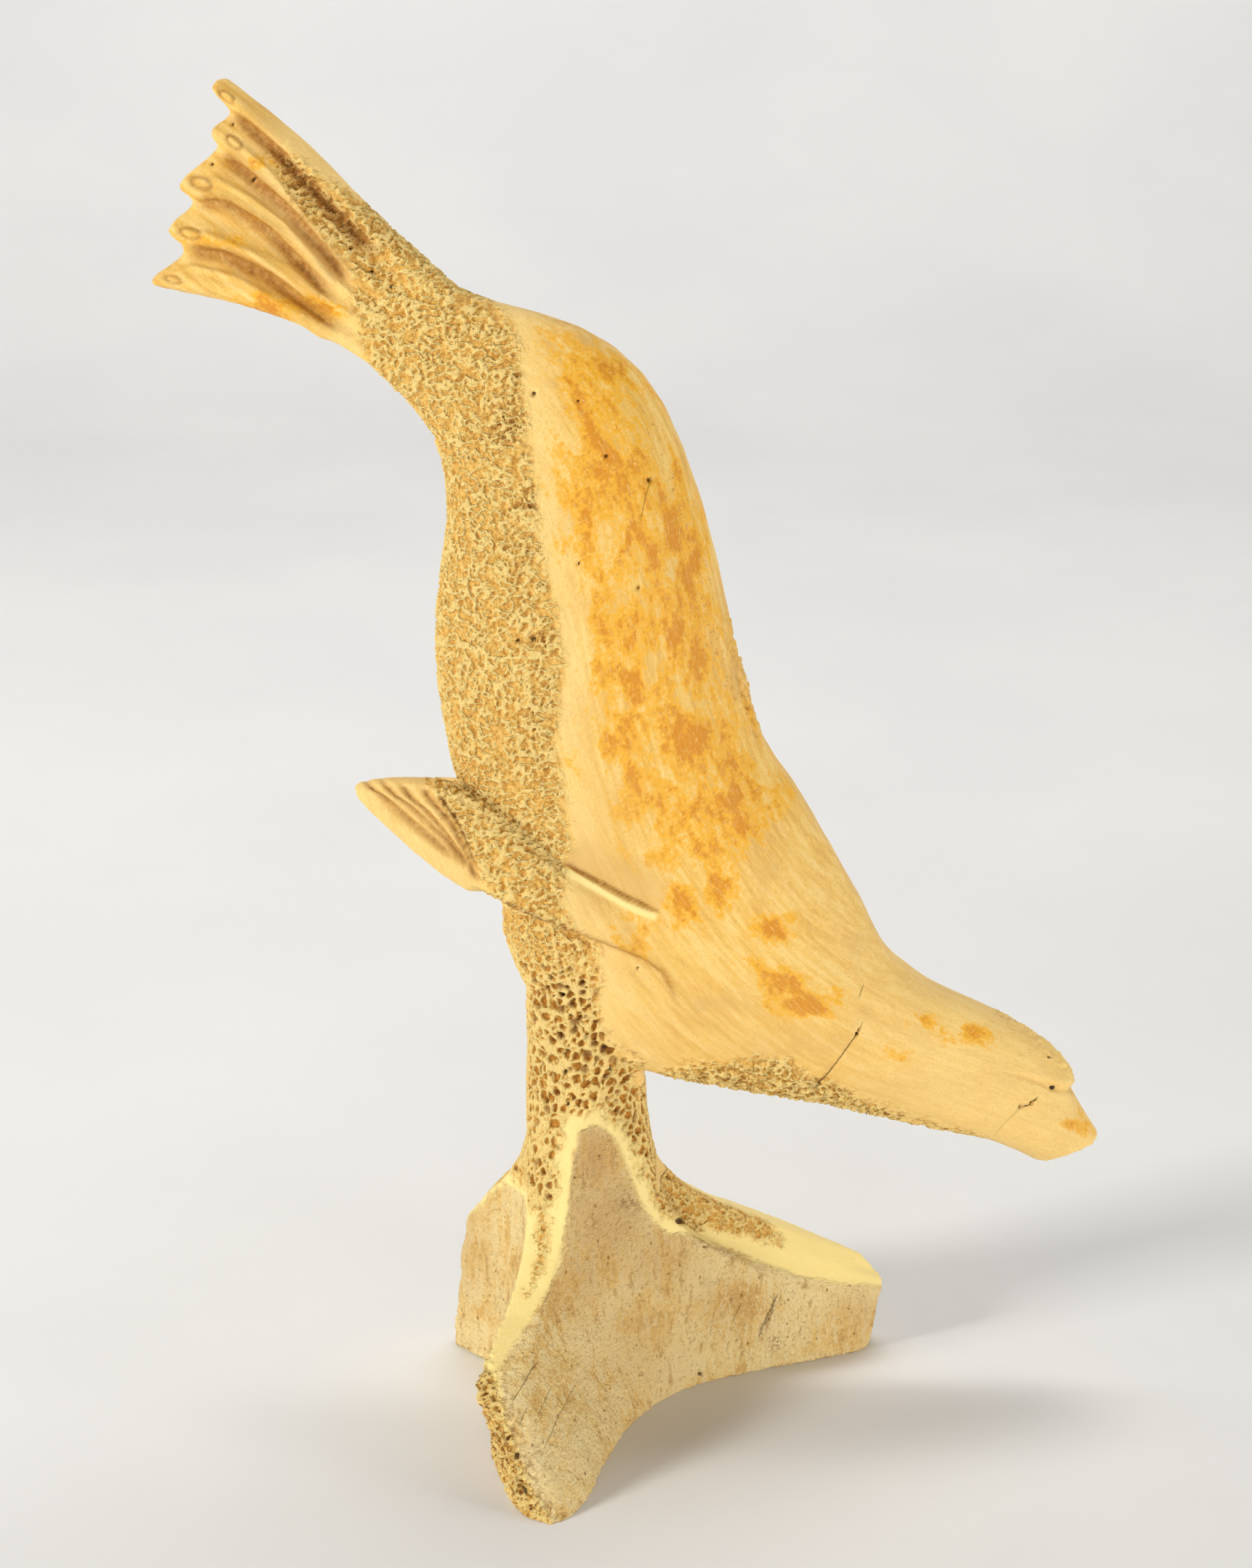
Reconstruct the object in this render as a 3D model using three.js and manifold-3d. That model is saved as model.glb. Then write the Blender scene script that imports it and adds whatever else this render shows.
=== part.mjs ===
// A diving seal carved from one piece of old shoulder blade bone, standing on the bone's own three wings.
// Millimetres, +Z up, +X towards the seal's nose, -Y towards the flank that shows. The origin is on the
// flat cut underside, below the stem.
import * as THREE from "three";
import { mergeVertices } from "three/addons/utils/BufferGeometryUtils.js";
import Module from "manifold-3d";

const wasm = await Module();
wasm.setup();

// Driving dimensions
const STEM_TOP = 97;
const BODY_RING = 24;
const BODY_STATIONS = 42;
const BODY_SQUARENESS = 2.3; // 2 is an ellipse
const FAN_STATIONS = 14;
const FAN_STEPS = 4; // between a digit and the web beside it
const FLIPPER_RING = 36;
const FLIPPER_STATIONS = 12;
const PLAN_STEPS = 72;
const WING_LEVELS = 12;

// Body stations from the ankle to the nose: [x, z, half thickness] at the belly edge and at the back edge.
const BELLY = [
  [-50.4, 250, 2],
  [-44, 240.5, 5.6],
  [-38.5, 235, 7.5],
  [-32.6, 227, 10.5],
  [-30, 216, 13.5],
  [-30.6, 204, 16],
  [-32.8, 188, 18],
  [-32.7, 172, 19],
  [-30.2, 155, 19.5],
  [-26.5, 140, 19],
  [-21.5, 122, 18.5],
  [-16.4, 104.5, 18],
  [-9, 92.5, 17.5],
  [2, 84, 17.5],
  [16, 79, 17],
  [34, 75.4, 15.5],
  [52, 71.6, 14],
  [68, 67.6, 12.5],
  [80, 64.7, 11.5],
  [90, 62.6, 10.5],
  [97, 59.6, 9],
  [102.8, 56, 6],
];
const BACK = [
  [-43.6, 266.6, 2],
  [-29, 259.3, 5.6],
  [-18, 255.3, 7.5],
  [-1, 250, 10.5],
  [12, 240.5, 13.5],
  [21, 224, 16],
  [28.6, 198.5, 18],
  [32.3, 181, 19],
  [39, 158.5, 19.5],
  [46, 147.5, 19.5],
  [54.5, 133, 19],
  [62, 119, 19],
  [67.2, 108.8, 19],
  [73, 103, 18.5],
  [80.2, 98, 17.5],
  [89.8, 93.4, 16],
  [98.4, 88.9, 14],
  [106, 83.8, 12.5],
  [110.8, 78.2, 11],
  [111.4, 73, 9.5],
  [114, 67.8, 8],
  [118, 61.4, 5],
];

// Hind flippers, side by side in one fan: [x, z] from the ankle to the tip, a line for each digit and for
// each web beside it, from the back edge to the belly edge.
const FAN = [
  [[-27, 258.2], [-42.4, 272.9], [-58, 289], [-73.4, 302]],
  [[-29, 256], [-44, 271.2], [-59.8, 287.6], [-76.4, 300]],
  [[-31.5, 253.2], [-45.2, 267.4], [-60, 282.8], [-72.8, 294.6]],
  [[-33.6, 250.9], [-48, 263], [-62.6, 277.9], [-77, 291]],
  [[-35.2, 249], [-49.8, 261.2], [-64.6, 276], [-75.6, 287.4]],
  [[-36.6, 247.5], [-51.2, 259.9], [-66.6, 273.2], [-83.9, 280.4]],
  [[-37.8, 246.2], [-52.6, 258.6], [-67.6, 269.4], [-81.2, 276.2]],
  [[-38.9, 245], [-53.8, 257], [-69, 265.8], [-86.6, 271]],
  [[-39.9, 243.9], [-55, 255], [-70.4, 262.6], [-83.6, 266]],
  [[-41.2, 242.4], [-56, 252.2], [-71.6, 258.2], [-90.8, 260.4]],
  [[-42.4, 240.6], [-56.6, 249.2], [-72, 254.6], [-88.2, 258.2]],
];
const FAN_HALF_THICKNESS = [4.4, 4, 2.9, 2.3]; // from the ankle to the tip
const FAN_RIDGE = [0, 0.9, 1.1, 1]; // how far a digit stands above the mean, and a web below it
const FAN_EDGE = 0.45; // share of the thickness left along the fan's two outer edges

// Near fore flipper: [x, z, y of its outer face] along the upper edge and [x, z, y of its inner face] along
// the lower edge, from the shoulder to the tip.
const FLIPPER_UPPER = [
  [17, 120, -15],
  [10, 125.6, -18.6],
  [0, 131.4, -20.8],
  [-10, 139, -21.2],
  [-20, 147.6, -20.4],
  [-30, 152.8, -19],
  [-38, 153.8, -17.6],
  [-45, 153.6, -16.4],
  [-50.4, 152.6, -15.4],
];
const FLIPPER_LOWER = [
  [19, 108, -8],
  [12, 113, -8],
  [4, 116.6, -8],
  [-8, 121, -7.5],
  [-20, 125.6, -8],
  [-29, 130, -8.6],
  [-38, 137.4, -9.4],
  [-45.6, 145, -10.4],
  [-50.2, 150, -11.4],
];
const FLIPPER_SQUARENESS = 3.2;
const FLIPPER_GROOVES = 4;
const FLIPPER_GROOVE_DEPTH = 0.7;
const FLIPPER_GROOVE_SPAN = [0.55, 0.75]; // they deepen over this part of the way to the tip
const FAR_FLIPPER_SHIFT = [5, -10]; // the far one lies lower and closer to the belly

// The bone's own outline seen from above, anticlockwise from the right wing's near face: [x, y] at each
// height. The stem is cut out of it above the arch.
const PLANS = [
  [0, [
    [65.4, 8], [67.4, 12.5], [65, 17.5], [36, 17], [8, 14.5],
    [-18, 18], [-28, 18.4], [-33, 12.6], [-29.2, 6.4], [-22.6, 0], [-20, -14],
    [-22.6, -34], [-18.4, -53], [-14.6, -62.6], [-8, -66.8], [-2.9, -63],
    [1.3, -54], [3.6, -44], [8.3, -30], [14, -19.5], [24.1, -9.2], [45, 0],
  ]],
  [33, [
    [70, 9.5], [72.6, 13.5], [68.6, 17.8], [37, 17.8], [9, 15],
    [-17, 17.5], [-25.4, 18.2], [-29.4, 12.5], [-27.6, 6], [-20, 0], [-15, -9],
    [-17, -28], [-22.6, -41], [-26.8, -46.5], [-25, -51], [-18.5, -51],
    [-13.6, -44], [-10.6, -36], [-4, -25], [6, -17.3], [23, -6.5], [45, 1],
  ]],
  [70, [
    [73, 11], [75, 14.5], [72, 18], [38, 18], [10, 15.5],
    [-15, 17], [-23, 17.5], [-27, 13], [-26, 7], [-19, 2], [-14.5, -7.5],
    [-14.6, -18], [-19, -30], [-23, -37], [-22, -41], [-17, -41],
    [-12, -34], [-8, -26], [-3, -18], [1.4, -13.2], [22, -4.6], [45, 2.5],
  ]],
  [134, [
    [90, 14], [92, 18], [88, 22], [44, 24], [12, 22],
    [-18, 22], [-28, 22], [-32, 16], [-31, 8], [-24, 0], [-20, -10],
    [-20, -22], [-24, -34], [-27, -42], [-24, -46], [-18, -46],
    [-12, -40], [-6, -32], [2, -25], [10, -20], [30, -12], [56, -4],
  ]],
];

// The saw and file cut that flares from the stem down to the wings: its reach from the stem's axis, at
// each height, in each direction in degrees from +X.
const FLARE_DIRECTIONS = [1, 17, 85, 150, 185, 246, 300];
const FLARE = [
  [STEM_TOP + 33, [3, 3, 3, 3, 3, 3, 3]],
  [STEM_TOP + 20, [7, 7, 7, 7, 8, 9, 8]],
  [STEM_TOP + 9, [12, 11.5, 10, 10, 11, 13, 12]],
  [STEM_TOP, [13, 13, 12, 13, 14.2, 14.2, 13.4]],
  [86, [13, 13, 13, 13.4, 13.8, 13.8, 13]],
  [75, [13, 13, 13, 13.8, 14.2, 15, 13]],
  [69, [13.2, 13.2, 13, 14, 14.2, 16.8, 13.4]],
  [62, [14, 14.4, 14, 14, 14.2, 18.6, 15]],
  [55, [15, 16, 16, 15.8, 16, 20.5, 17]],
  [49, [16.8, 19.4, 19, 19.6, 19.6, 22.5, 21]],
  [44, [18.6, 24, 23, 24, 24, 25.5, 26]],
  [38, [23, 32.4, 31, 28.4, 28.6, 31, 34]],
  [33, [29.4, 43.6, 40, 33, 33, 38, 42]],
  [27, [39.6, 55.6, 50, 38, 38, 51, 50]],
  [21, [51, 68, 60, 41, 41, 64, 60]],
  [15, [74, 77, 70, 44, 44, 76, 70]],
  [6, [90, 90, 80, 47, 47, 86, 80]],
  [-4, [95, 95, 90, 50, 50, 90, 90]],
];

const BONE = { color: 0xe8cf9a, roughness: 0.6, metalness: 0 };

const across = new THREE.Vector3(0, 1, 0);

function curveThrough(points) {
  return new THREE.CatmullRomCurve3(points.map((p) => new THREE.Vector3(...p)), false, "catmullrom");
}

function curveValue(values, t) {
  return curveThrough(values.map((v) => [v, 0, 0])).getPoint(t).x;
}

// Points around a superellipse, as shares of its two half axes
function superellipse(count, squareness) {
  const squared = (c) => Math.sign(c) * Math.abs(c) ** (2 / squareness);
  const points = [];
  for (let i = 0; i < count; i++) {
    const angle = ((i + 0.5) * 2 * Math.PI) / count;
    points.push([squared(Math.cos(angle)), squared(Math.sin(angle))]);
  }
  return points;
}

// Walls between successive closed rings, with no ends
function wallIndices(ringCount, n) {
  const index = [];
  for (let k = 0; k + 1 < ringCount; k++) {
    for (let i = 0; i < n; i++) {
      const a = k * n + i;
      const b = k * n + ((i + 1) % n);
      index.push(a, b, b + n, a, b + n, a + n);
    }
  }
  return index;
}

// An end across a ring whose second half mirrors its first
function stripEnd(ring, first, flip) {
  const n = ring.length;
  const index = [];
  for (let i = 0; i < n / 2 - 1; i++) {
    const [a, b, c, d] = [i, i + 1, n - 2 - i, n - 1 - i].map((j) => first + j);
    index.push(...(flip ? [a, c, b, a, d, c] : [a, b, c, a, c, d]));
  }
  return index;
}

// An end across a flat ring of any outline
function planEnd(ring, first, flip) {
  const outline = ring.map((p) => new THREE.Vector2(p.x, p.y));
  return THREE.ShapeUtils.triangulateShape(outline, [])
    .flatMap(([a, b, c]) => (flip ? [a, c, b] : [a, b, c]))
    .map((j) => first + j);
}

function solidFromRings(rings, endOf) {
  const n = rings[0].length;
  const last = (rings.length - 1) * n;
  const index = [
    ...wallIndices(rings.length, n),
    ...endOf(rings[0], 0, true),
    ...endOf(rings.at(-1), last, false),
  ];
  const geometry = new THREE.BufferGeometry().setFromPoints(rings.flat());
  geometry.setIndex(index);
  return solidOf(geometry);
}

function signedVolume(position, index) {
  const [a, b, c] = [0, 1, 2].map(() => new THREE.Vector3());
  let sum = 0;
  for (let i = 0; i < index.length; i += 3) {
    a.fromBufferAttribute(position, index[i]);
    b.fromBufferAttribute(position, index[i + 1]);
    c.fromBufferAttribute(position, index[i + 2]);
    sum += a.dot(b.cross(c)) / 6;
  }
  return sum;
}

function solidOf(geometry) {
  const merged = mergeVertices(geometry, 1e-4);
  const triVerts = new Uint32Array(merged.index.array);
  if (signedVolume(merged.attributes.position, triVerts) < 0) triVerts.reverse();
  const vertProperties = merged.attributes.position.array;
  return new wasm.Manifold(new wasm.Mesh({ numProp: 3, vertProperties, triVerts }));
}

// Torso, neck and head
function bodySolid() {
  const belly = curveThrough(BELLY);
  const back = curveThrough(BACK);
  const rings = [];
  for (let k = 0; k <= BODY_STATIONS; k++) {
    const b = belly.getPoint(k / BODY_STATIONS);
    const s = back.getPoint(k / BODY_STATIONS);
    const middle = new THREE.Vector3((b.x + s.x) / 2, 0, (b.y + s.y) / 2);
    const half = new THREE.Vector3((b.x - s.x) / 2, 0, (b.y - s.y) / 2);
    const ring = superellipse(BODY_RING, BODY_SQUARENESS).map(([along, out]) => {
      const thickness = THREE.MathUtils.lerp(s.z, b.z, (along + 1) / 2);
      return middle.clone().addScaledVector(half, along).addScaledVector(across, -out * thickness);
    });
    rings.push(ring);
  }
  return solidFromRings(rings, stripEnd);
}

// Hind flippers: five digits as ridges, with sunken webs between them and a scalloped end
function fanSolid() {
  const lines = FAN.map((line) => curveThrough(line.map(([x, z]) => [x, 0, z])));
  const steps = (lines.length - 1) * FAN_STEPS;
  const rings = [];
  for (let k = 0; k <= FAN_STATIONS; k++) {
    const t = k / FAN_STATIONS;
    const section = new THREE.CatmullRomCurve3(lines.map((line) => line.getPoint(t)), false, "catmullrom");
    const near = [];
    const far = [];
    for (let i = 0; i <= steps; i++) {
      const ridge = -Math.cos((Math.PI * i) / FAN_STEPS) * curveValue(FAN_RIDGE, t);
      const share = i === 0 || i === steps ? FAN_EDGE : 1;
      const half = share * (curveValue(FAN_HALF_THICKNESS, t) + ridge);
      const point = section.getPoint(i / steps);
      near.push(point.clone().addScaledVector(across, -half));
      far.unshift(point.clone().addScaledVector(across, half));
    }
    rings.push([...near, ...far]);
  }
  return solidFromRings(rings, stripEnd);
}

// A fore flipper: a flat blade that rises out of the shoulder, with grooves between its digits. side is 1
// for the near flank and -1 for the far one.
function flipperSolid(side, [dx, dz]) {
  const upper = curveThrough(FLIPPER_UPPER);
  const lower = curveThrough(FLIPPER_LOWER);
  const rings = [];
  for (let k = 0; k <= FLIPPER_STATIONS; k++) {
    const t = k / FLIPPER_STATIONS;
    const u = upper.getPoint(t);
    const l = lower.getPoint(t);
    const middle = new THREE.Vector3((u.x + l.x) / 2 + dx, (side * (u.z + l.z)) / 2, (u.y + l.y) / 2 + dz);
    const half = new THREE.Vector3((u.x - l.x) / 2, 0, (u.y - l.y) / 2);
    const groove = FLIPPER_GROOVE_DEPTH * THREE.MathUtils.smoothstep(t, ...FLIPPER_GROOVE_SPAN);
    const halfThickness = (l.z - u.z) / 2;
    const ring = superellipse(FLIPPER_RING, FLIPPER_SQUARENESS).map(([along, out]) => {
      const wave = groove * Math.cos(along * Math.PI * FLIPPER_GROOVES);
      const depth = -side * out * (halfThickness + wave);
      return middle.clone().addScaledVector(half, along).addScaledVector(across, depth);
    });
    rings.push(ring);
  }
  return solidFromRings(rings, stripEnd);
}

// The bone as it grew, three wings around a core
function wingsSolid() {
  const corners = PLANS[0][1].map((_, i) => curveThrough(PLANS.map(([z, outline]) => [...outline[i], z])));
  const rings = [];
  for (let k = 0; k <= WING_LEVELS; k++) {
    const outline = corners.map((corner) => corner.getPoint(k / WING_LEVELS));
    const level = new THREE.CatmullRomCurve3(outline, true, "centripetal");
    rings.push(level.getPoints(PLAN_STEPS).slice(0, -1));
  }
  return solidFromRings(rings, planEnd);
}

// The stem and the flared cut below it, as one solid to keep of the wings
function flareSolid() {
  const turn = 360;
  const first = FLARE_DIRECTIONS[0];
  const directions = [...FLARE_DIRECTIONS, first + turn];
  const reachAt = (reach, degrees) => {
    const wrapped = [...reach, reach[0]];
    const d = ((degrees - first + turn) % turn) + first;
    const i = directions.findIndex((edge, j) => j > 0 && d <= edge);
    const share = THREE.MathUtils.smoothstep(d, directions[i - 1], directions[i]);
    return THREE.MathUtils.lerp(wrapped[i - 1], wrapped[i], share);
  };
  const rings = FLARE.map(([z, reach]) => {
    const ring = [];
    for (let i = 0; i < PLAN_STEPS; i++) {
      const degrees = (i * turn) / PLAN_STEPS;
      const r = reachAt(reach, degrees);
      const angle = THREE.MathUtils.degToRad(degrees);
      ring.push(new THREE.Vector3(r * Math.cos(angle), r * Math.sin(angle), z));
    }
    return ring;
  });
  return solidFromRings(rings, planEnd);
}

function geometryOf(solid) {
  const mesh = solid.getMesh();
  const geometry = new THREE.BufferGeometry();
  geometry.setAttribute("position", new THREE.BufferAttribute(mesh.vertProperties, 3));
  geometry.setIndex(new THREE.BufferAttribute(mesh.triVerts, 1));
  geometry.computeVertexNormals();
  return geometry;
}

const base = wingsSolid().intersect(flareSolid());
const carving = bodySolid()
  .add(fanSolid())
  .add(flipperSolid(1, [0, 0]))
  .add(flipperSolid(-1, FAR_FLIPPER_SHIFT))
  .add(base);

const bone = new THREE.Mesh(geometryOf(carving), new THREE.MeshStandardMaterial(BONE));
bone.name = "carved_bone";

const part = new THREE.Group();
part.add(bone);

export default part;
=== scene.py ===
import math

import bpy
import numpy as np
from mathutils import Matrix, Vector
from mathutils.kdtree import KDTree


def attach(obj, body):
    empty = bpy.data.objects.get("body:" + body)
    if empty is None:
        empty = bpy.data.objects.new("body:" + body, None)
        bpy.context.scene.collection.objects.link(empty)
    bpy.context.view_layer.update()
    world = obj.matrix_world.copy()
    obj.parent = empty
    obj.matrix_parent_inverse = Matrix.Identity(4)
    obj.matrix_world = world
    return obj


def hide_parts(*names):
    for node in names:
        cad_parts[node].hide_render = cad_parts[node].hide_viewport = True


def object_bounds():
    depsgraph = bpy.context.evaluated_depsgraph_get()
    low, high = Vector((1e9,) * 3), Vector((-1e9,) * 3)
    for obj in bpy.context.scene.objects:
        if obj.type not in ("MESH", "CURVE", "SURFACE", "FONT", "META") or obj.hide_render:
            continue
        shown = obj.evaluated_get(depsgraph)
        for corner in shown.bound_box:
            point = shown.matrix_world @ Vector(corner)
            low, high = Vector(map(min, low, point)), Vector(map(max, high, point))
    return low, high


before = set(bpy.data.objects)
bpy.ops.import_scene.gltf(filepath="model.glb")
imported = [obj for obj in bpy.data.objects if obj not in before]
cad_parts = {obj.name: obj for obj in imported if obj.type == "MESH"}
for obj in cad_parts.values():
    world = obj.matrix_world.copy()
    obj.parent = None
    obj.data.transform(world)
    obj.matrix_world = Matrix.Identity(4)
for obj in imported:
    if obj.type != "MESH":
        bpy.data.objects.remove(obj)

cad_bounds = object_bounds()

MM = 0.001
PICTURE_WIDTH = 1722
PICTURE_HEIGHT = 2156

# The camera looks down at a point above the stem
CAMERA_DISTANCE = 700
CAMERA_PITCH = 20
CAMERA_TARGET = (8.55, 0, 147.6)
FOCAL_PIXELS = 4340
PIXELS_PER_MM = FOCAL_PIXELS / CAMERA_DISTANCE
SENSOR = 36
# A distance longer than any in the picture, and how far fields are followed: round outlines, the border
# between cut and natural bone, and cracks, in millimetres, and round pits in their half sizes
FAR_AWAY = 1e6
FIELD_REACH = 20
BORDER_REACH = 30.0
CRACK_REACH = 3.0
PIT_REACH = 5.0

# Edge of the blocks that the skin is rebuilt from, before it is divided once more
SKIN_VOXEL = 0.95
# Rounds of smoothing for all of the skin, and for the body alone
SKIN_ROUNDS = 2
BODY_ROUNDS = 26
# Between these smoothing stops: at the tail by z and -x, round the flipper in pixels, low down by z, and at
# the head by x
TAIL_HEIGHTS = 238, 262
TAIL_WAY = 18, 40
FLIPPER_REACHES = 70, 95
LOW_HEIGHTS = 60, 100
HEAD_WAY = 96, 108
PIECE_TRIANGLES = 190000

# Where the base ends and the seal's body begins
WINGS_TOP = 50
# Width of the dense rim round the cut faces of the base, and how it grows outwards, right and left
RIM_WIDTH = 2.6
RIM_GROWTH = 0.11, 0.04
# How far from the stem the wings' cut tops are spongy
SPONGE_TIP = 47
STEM_TOP = 76
STEM_SIDE = 15.5
# Flaws of the near side reach back to this depth
NEAR_SIDE = 2
# Above this height the spongy bone ends at a slanted line through this x and z
FAN_ROOT = 225
FAN_END = -49, 262
FAN_SLANT = 0.15
# Between these the seal's bone turns cream by x, and coarse by z and x
CREAM_WAY = 40, 85
COARSE_HEIGHTS = 98, 122
COARSE_WAY = 12, 24

# Lines and outlines in the picture, in pixels

# Boundary of the belly side's spongy bone, from the back edge at the ankle down to the stem
SPONGE_LINE = [
    (640, 385), (706, 443), (713, 500), (720, 552), (724, 600), (733, 640), (737, 683), (741, 733),
    (750, 783), (763, 833), (770, 880), (776, 920), (768, 980), (770, 1040), (777, 1100), (788, 1160),
    (772, 1197), (776, 1240), (792, 1282), (824, 1304), (824, 1352), (824, 1400), (838, 1440), (880, 1462),
]
SPONGE_FAR_SIDE = [(880, 1620), (100, 1620), (100, 80), (560, 300)]
# Dense, grooved tip of the near fore flipper, left of its spongy root
FLIPPER_TIP = [
    (440, 1020), (578, 1040), (596, 1092), (616, 1124), (648, 1180), (688, 1256), (640, 1300), (440, 1140),
]

# Ragged spongy strip along the underside of the throat
THROAT = [
    (905, 1478), (940, 1464), (1000, 1462), (1050, 1452), (1085, 1456), (1123, 1478), (1151, 1492),
    (1185, 1510), (1225, 1527), (1280, 1544), (1350, 1566), (1350, 1640), (900, 1540),
]

# Pitted, stained strip down the outer end of the front wing
WING_END = [
    (640, 1880), (676, 1884), (692, 1915), (704, 1962), (722, 2012), (744, 2060), (778, 2092),
    (770, 2130), (700, 2110), (650, 1980),
]
# Faintly pitted strip along the back
BACK_PITS = [
    (880, 560), (905, 585), (935, 660), (962, 750), (985, 850), (1020, 935), (1050, 1000), (1040, 1020),
    (1000, 950), (962, 860), (938, 760), (908, 670),
]
# Natural face between the front wing and the right wing, up to its pointed arch
WEB = [
    (816, 1547), (797, 1556), (788, 1590), (784, 1640), (778, 1700), (770, 1745), (742, 1795), (706, 1850),
    (686, 1884), (688, 1915), (700, 1960), (716, 2010), (735, 2052), (760, 2098), (800, 2120), (1300, 1900),
    (1250, 1774), (1217, 1769), (1160, 1766), (1106, 1757), (1060, 1741), (1018, 1724), (975, 1708),
    (940, 1697), (918, 1697), (898, 1680), (880, 1650), (866, 1612), (852, 1578), (838, 1556),
]

# Outline of the long orange stain on the flank
ORANGE_FIELD = [
    (730, 470), (800, 440), (866, 470), (907, 529), (950, 648), (977, 756), (994, 864), (1020, 972),
    (1069, 1048), (1092, 1092), (1069, 1145), (1026, 1199), (1006, 1242), (976, 1244), (918, 1170),
    (862, 1112), (838, 1026), (818, 940), (806, 864), (786, 756), (760, 648), (748, 540),
]
# Left of this column and behind this depth lies the left wing. Its natural face is found by its slope
LEFT_WING_EDGE = 724
LEFT_WING_FRONT = -18
# Upright faces of the base: the steepest and the flattest normals' rise, and how high they reach
MOST_UPWARD = 0.33
MOST_DOWNWARD = -0.8
UPRIGHT_TOP = 48
# How far back the web reaches, how high its outline holds, and how high its arch may reach
WEB_BACK = 14
WEB_TOP = 70
ARCH_TOP = 75
# Pitted groove between the fan's first two digits
FAN_PITTED = [
    (372, 212), (398, 206), (470, 270), (540, 335), (570, 400), (500, 392), (450, 334), (404, 276),
]
# Greyer patches of dense bone: painted shade under the neck and head and round the near flipper
SHADED_GREY_PATCHES = [
    (825, 1170, 50, 80, 0.55), (950, 1400, 110, 46, 0.5), (1040, 1440, 120, 30, 0.6),
    (1260, 1500, 130, 32, 0.55), (1400, 1540, 70, 30, 0.35), (870, 1340, 50, 60, 0.35),
]
# Orange stains: centre, half sizes and strength
STAINS = [
    (795, 490, 75, 45, 0.55), (840, 560, 60, 60, 0.75), (835, 650, 62, 70, 0.8), (825, 735, 50, 55, 0.75),
    (925, 750, 55, 50, 0.8), (880, 820, 70, 60, 0.75), (940, 850, 70, 60, 0.7), (880, 920, 80, 50, 0.65),
    (850, 1015, 55, 45, 0.75), (975, 1010, 60, 60, 0.9), (925, 1040, 60, 50, 0.7),
    (872, 1090, 26, 50, 1.0), (950, 1080, 32, 42, 0.8), (1040, 1090, 32, 42, 0.9),
    (980, 1140, 24, 55, 1.0), (988, 1222, 20, 26, 1.3), (905, 1175, 50, 22, 0.7),
    (856, 1262, 26, 14, 0.8), (878, 1288, 22, 26, 0.9), (938, 1252, 26, 34, 0.9),
    (1075, 1272, 40, 22, 0.55), (1015, 1330, 34, 18, 0.5), (1072, 1362, 34, 26, 0.9),
    (1108, 1380, 34, 18, 1.4), (1285, 1408, 46, 18, 0.5), (1325, 1426, 32, 22, 0.55),
    (1332, 1448, 20, 14, 0.4), (1208, 1446, 26, 16, 0.35), (1247, 1452, 12, 9, 0.4),
    (1485, 1525, 12, 12, 0.4), (1483, 1550, 26, 12, 0.5), (380, 424, 60, 16, 1.1),
    (345, 225, 40, 10, 0.5), (300, 262, 50, 12, 0.45), (300, 330, 60, 12, 0.5), (355, 305, 60, 10, 0.35),
]

# Brown dirt at the boundary of the spongy bone and in the fan's deepest groove, and painted shade over the
# stem's middle
DIRT_AND_SHADE = [
    (712, 520, 12, 40, 0.6), (700, 585, 26, 22, 0.9), (722, 600, 10, 14, 1.0), (732, 690, 20, 16, 0.9),
    (715, 760, 26, 30, 0.5), (745, 880, 16, 22, 0.7), (745, 1000, 22, 60, 0.5), (780, 1190, 14, 24, 0.5),
    (760, 1240, 24, 30, 0.4), (806, 1300, 22, 16, 0.7), (790, 1370, 30, 30, 0.5),
    # The wide spot at 800, 1400 over the stem is painted shade
    (820, 1440, 30, 30, 0.5), (800, 1400, 60, 70, 0.3), (420, 256, 24, 12, 1.2), (455, 290, 24, 10, 0.8),
    (395, 230, 26, 10, 0.8), (500, 330, 30, 14, 0.5), (325, 168, 16, 6, 0.9), (300, 224, 12, 6, 0.4),
    (388, 282, 16, 6, 0.6), (470, 430, 20, 8, 0.6), (668, 1925, 16, 30, 1.1), (690, 1980, 16, 44, 1.3),
    (715, 2040, 18, 34, 1.3), (735, 2075, 20, 14, 1.1), (1000, 1488, 70, 18, 0.6),
    (1120, 1502, 80, 20, 0.7), (1230, 1545, 80, 18, 0.9), (1315, 1572, 60, 16, 1.0),
    (662, 1890, 10, 16, 0.5), (790, 1625, 24, 20, 0.3), (864, 1652, 16, 14, 0.6), (1065, 1847, 7, 9, 0.9),
]

# Reddish stains of the natural face
WEB_TINTS = [
    (820, 1590, 30, 50, 0.8), (835, 1680, 60, 60, 0.7), (800, 1760, 40, 60, 0.5),
    (900, 1730, 60, 50, 0.5), (870, 1850, 60, 80, 0.35), (1000, 1790, 50, 40, 0.35),
    (1180, 1810, 40, 40, 0.4), (640, 1720, 30, 60, 0.4),
]

# Dark open pits: centre and half size
PITS = [
    (1179, 1422, 3.2), (1182, 1417, 2.2), (1419, 1518, 2.2), (1404, 1522, 2.0), (777, 1474, 5.5),
    (781, 1519, 4.5), (832, 1441, 5), (840, 1471, 4.5), (774, 1369, 4.5), (760, 1370, 3), (784, 1396, 3),
    (733, 880, 4), (711, 882, 3), (734, 541, 4), (795, 551, 3), (894, 660, 4), (834, 627, 3.5),
    (796, 775, 2.5), (878, 808, 3), (1028, 973, 3), (872, 1563, 3), (825, 1590, 2.5), (793, 1620, 2.5),
    (936, 1677, 6.5), (949, 1666, 3.5), (964, 1890, 4.5), (1111, 1826, 3), (920, 1665, 2), (970, 1714, 3),
    (711, 2002, 4.5), (720, 2050, 5), (728, 2076, 3), (876, 1335, 2), (1444, 1452, 2.5), (512, 373, 3),
    (538, 394, 2.5), (484, 342, 2.5), (292, 225, 3), (320, 171, 3), (346, 251, 2.5), (586, 380, 2),
]

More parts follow.
